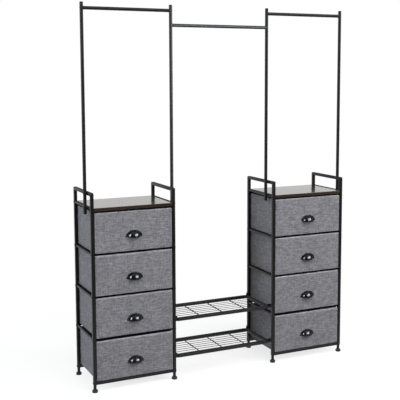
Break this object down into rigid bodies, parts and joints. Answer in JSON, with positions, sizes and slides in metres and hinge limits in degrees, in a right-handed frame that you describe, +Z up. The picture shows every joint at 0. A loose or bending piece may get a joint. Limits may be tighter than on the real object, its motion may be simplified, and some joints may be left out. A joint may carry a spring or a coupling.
{
  "type": "clothes rack",
  "caption": "Freestanding clothes rack with slim fabric drawer towers, wire shelves between them, tall posts and hanging rods.",
  "frame": {"origin": "on the floor, in the middle of the whole rack's bounding box", "axes": "+Z up, front towards -Y, +X towards the right-hand dresser"},
  "size_m": [1.4036, 0.3012, 1.8],
  "materials": {
    "steel": "satin black powder coat",
    "plastic": "matte black",
    "board": "dark walnut laminate, slight gloss",
    "fabric": "grey linen weave",
    "gunmetal": "glossy gunmetal"
  },
  "bodies": {
    "rack": {"left_outer_side_frame": "steel", "left_inner_side_frame": "steel", "left_top_front_rail": "steel", "left_front_rail_1": "steel", "left_front_rail_2": "steel", "left_front_rail_3": "steel", "left_bottom_front_rail": "steel", "left_top_back_rail": "steel", "left_back_rail_1": "steel", "left_back_rail_2": "steel", "left_back_rail_3": "steel", "left_bottom_back_rail": "steel", "left_top_board": "board", "right_outer_side_frame": "steel", "right_inner_side_frame": "steel", "right_top_front_rail": "steel", "right_front_rail_1": "steel", "right_front_rail_2": "steel", "right_front_rail_3": "steel", "right_bottom_front_rail": "steel", "right_top_back_rail": "steel", "right_back_rail_1": "steel", "right_back_rail_2": "steel", "right_back_rail_3": "steel", "right_bottom_back_rail": "steel", "right_top_board": "board", "left_outer_post": "steel", "left_inner_post": "steel", "right_inner_post": "steel", "right_outer_post": "steel", "left_hanging_rod": "steel", "middle_hanging_rod": "steel", "right_hanging_rod": "steel", "lower_shelf": "steel", "upper_shelf": "steel"},
    "left_outer_front_foot": {"left_outer_front_foot": "plastic"},
    "left_outer_back_foot": {"left_outer_back_foot": "plastic"},
    "left_inner_front_foot": {"left_inner_front_foot": "plastic"},
    "left_inner_back_foot": {"left_inner_back_foot": "plastic"},
    "left_drawer_1": {"left_drawer_1_bin": "fabric", "left_drawer_1_pull": "gunmetal"},
    "left_drawer_2": {"left_drawer_2_bin": "fabric", "left_drawer_2_pull": "gunmetal"},
    "left_drawer_3": {"left_drawer_3_bin": "fabric", "left_drawer_3_pull": "gunmetal"},
    "left_drawer_4": {"left_drawer_4_bin": "fabric", "left_drawer_4_pull": "gunmetal"},
    "right_outer_front_foot": {"right_outer_front_foot": "plastic"},
    "right_outer_back_foot": {"right_outer_back_foot": "plastic"},
    "right_inner_front_foot": {"right_inner_front_foot": "plastic"},
    "right_inner_back_foot": {"right_inner_back_foot": "plastic"},
    "right_drawer_1": {"right_drawer_1_bin": "fabric", "right_drawer_1_pull": "gunmetal"},
    "right_drawer_2": {"right_drawer_2_bin": "fabric", "right_drawer_2_pull": "gunmetal"},
    "right_drawer_3": {"right_drawer_3_bin": "fabric", "right_drawer_3_pull": "gunmetal"},
    "right_drawer_4": {"right_drawer_4_bin": "fabric", "right_drawer_4_pull": "gunmetal"}
  },
  "joints": [
    {"name": "left_outer_front_foot_height", "type": "slide", "parent": "rack", "child": "left_outer_front_foot", "axis": [0, 0, -1], "range_m": [0, 0.01]},
    {"name": "left_outer_back_foot_height", "type": "slide", "parent": "rack", "child": "left_outer_back_foot", "axis": [0, 0, -1], "range_m": [0, 0.01]},
    {"name": "left_inner_front_foot_height", "type": "slide", "parent": "rack", "child": "left_inner_front_foot", "axis": [0, 0, -1], "range_m": [0, 0.01]},
    {"name": "left_inner_back_foot_height", "type": "slide", "parent": "rack", "child": "left_inner_back_foot", "axis": [0, 0, -1], "range_m": [0, 0.01]},
    {"name": "left_drawer_1_slide", "type": "slide", "parent": "rack", "child": "left_drawer_1", "axis": [0, -1, 0], "range_m": [0, 0.2]},
    {"name": "left_drawer_2_slide", "type": "slide", "parent": "rack", "child": "left_drawer_2", "axis": [0, -1, 0], "range_m": [0, 0.2]},
    {"name": "left_drawer_3_slide", "type": "slide", "parent": "rack", "child": "left_drawer_3", "axis": [0, -1, 0], "range_m": [0, 0.2]},
    {"name": "left_drawer_4_slide", "type": "slide", "parent": "rack", "child": "left_drawer_4", "axis": [0, -1, 0], "range_m": [0, 0.2]},
    {"name": "right_outer_front_foot_height", "type": "slide", "parent": "rack", "child": "right_outer_front_foot", "axis": [0, 0, -1], "range_m": [0, 0.01]},
    {"name": "right_outer_back_foot_height", "type": "slide", "parent": "rack", "child": "right_outer_back_foot", "axis": [0, 0, -1], "range_m": [0, 0.01]},
    {"name": "right_inner_front_foot_height", "type": "slide", "parent": "rack", "child": "right_inner_front_foot", "axis": [0, 0, -1], "range_m": [0, 0.01]},
    {"name": "right_inner_back_foot_height", "type": "slide", "parent": "rack", "child": "right_inner_back_foot", "axis": [0, 0, -1], "range_m": [0, 0.01]},
    {"name": "right_drawer_1_slide", "type": "slide", "parent": "rack", "child": "right_drawer_1", "axis": [0, -1, 0], "range_m": [0, 0.2]},
    {"name": "right_drawer_2_slide", "type": "slide", "parent": "rack", "child": "right_drawer_2", "axis": [0, -1, 0], "range_m": [0, 0.2]},
    {"name": "right_drawer_3_slide", "type": "slide", "parent": "rack", "child": "right_drawer_3", "axis": [0, -1, 0], "range_m": [0, 0.2]},
    {"name": "right_drawer_4_slide", "type": "slide", "parent": "rack", "child": "right_drawer_4", "axis": [0, -1, 0], "range_m": [0, 0.2]}
  ]
}
